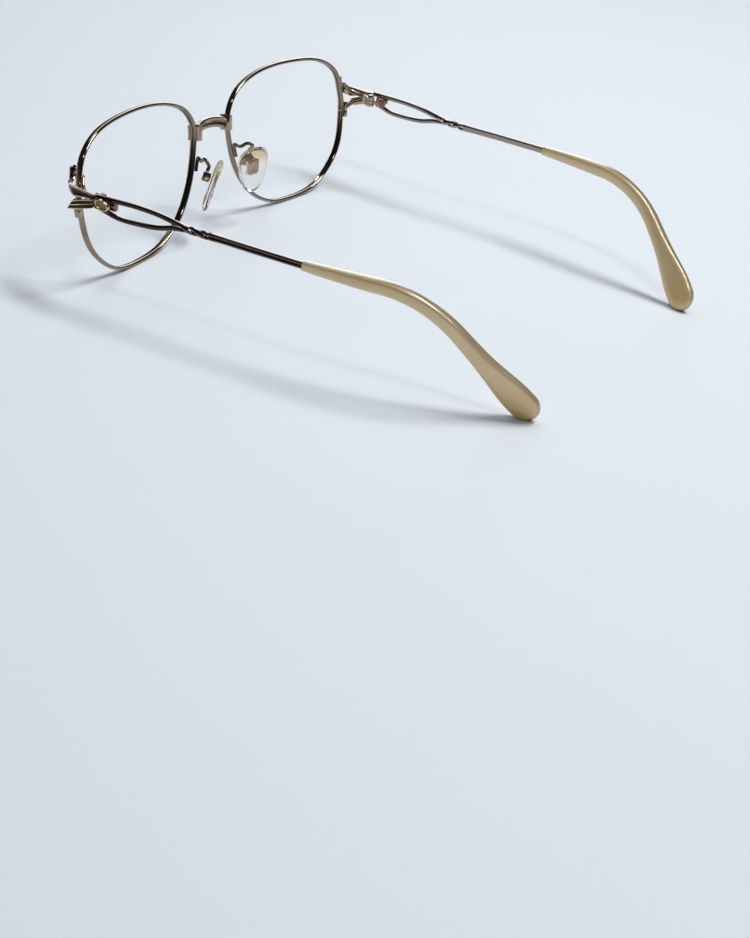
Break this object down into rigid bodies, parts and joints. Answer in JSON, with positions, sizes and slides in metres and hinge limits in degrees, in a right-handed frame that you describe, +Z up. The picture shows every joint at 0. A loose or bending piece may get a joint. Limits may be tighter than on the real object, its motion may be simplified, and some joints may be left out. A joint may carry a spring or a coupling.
{
  "type": "eyeglass frame",
  "caption": "Metal eyeglass frame with rounded rims, twin-wire temples that twist together, ornamented end pieces, clear nose pads and plastic ear tips; no lenses.",
  "frame": {"origin": "on the surface the frame stands on, under the middle of its overall box", "axes": "+Z up from the standing surface, -Y the way the front faces, +Y along the opened temples, +X towards the wearer's left"},
  "size_m": [0.1382, 0.1342, 0.0406],
  "materials": {
    "bronze": "polished dark bronze plating",
    "rose_metal": "polished tan metal",
    "gold": "polished yellow-gold plating",
    "copper": "polished copper-brown plating",
    "steel": "turned, bright",
    "pearl": "glossy pearl champagne",
    "clear": "clear, glossy"
  },
  "bodies": {
    "front": {"bridge": "rose_metal", "rim_left": "bronze", "rim_right": "bronze", "closing_block_upper_left": "rose_metal", "closing_block_upper_right": "rose_metal", "closing_block_lower_left": "rose_metal", "closing_block_lower_right": "rose_metal", "closing_screw_left": "steel", "closing_screw_right": "steel", "endpiece_upper_branch_left": "rose_metal", "endpiece_upper_branch_right": "rose_metal", "endpiece_lower_branch_left": "rose_metal", "endpiece_lower_branch_right": "rose_metal", "endpiece_ribbon_left": "bronze", "endpiece_ribbon_right": "bronze", "endpiece_gold_fan_left": "gold", "endpiece_gold_fan_right": "gold", "hinge_front_leaf_left": "copper", "hinge_front_leaf_right": "copper", "hinge_screw_left": "steel", "hinge_screw_right": "steel", "pad_arm_left": "bronze", "pad_arm_right": "bronze", "pad_box_left": "bronze", "pad_box_right": "bronze", "pad_screw_left": "gold", "pad_screw_right": "gold"},
    "temple_left": {"hinge_temple_leaf_left": "copper", "temple_cap_left": "gold", "temple_upper_wire_left": "bronze", "temple_lower_wire_left": "bronze", "temple_shank_left": "bronze", "temple_tip_left": "pearl"},
    "temple_right": {"hinge_temple_leaf_right": "copper", "temple_cap_right": "gold", "temple_upper_wire_right": "bronze", "temple_lower_wire_right": "bronze", "temple_shank_right": "bronze", "temple_tip_right": "pearl"},
    "pad_left": {"pad_insert_left": "gold", "nose_pad_left": "clear"},
    "pad_right": {"pad_insert_right": "gold", "nose_pad_right": "clear"}
  },
  "joints": [
    {"name": "temple_hinge_left", "type": "hinge", "parent": "front", "child": "temple_left", "pos_m": [0.06478, -0.05091, 0.02655], "axis": [0, 0, 1], "range_deg": [0, 81]},
    {"name": "temple_hinge_right", "type": "hinge", "parent": "front", "child": "temple_right", "pos_m": [-0.06478, -0.05091, 0.02655], "axis": [0, 0, -1], "range_deg": [0, 72]},
    {"name": "pad_rock_left", "type": "hinge", "parent": "front", "child": "pad_left", "pos_m": [0.0102, -0.05711, 0.01835], "axis": [0.8746, 0.4456, 0.1908], "range_deg": [-10, 10]},
    {"name": "pad_rock_right", "type": "hinge", "parent": "front", "child": "pad_right", "pos_m": [-0.0102, -0.05711, 0.01835], "axis": [0.8746, -0.4456, -0.1908], "range_deg": [-10, 10]}
  ]
}
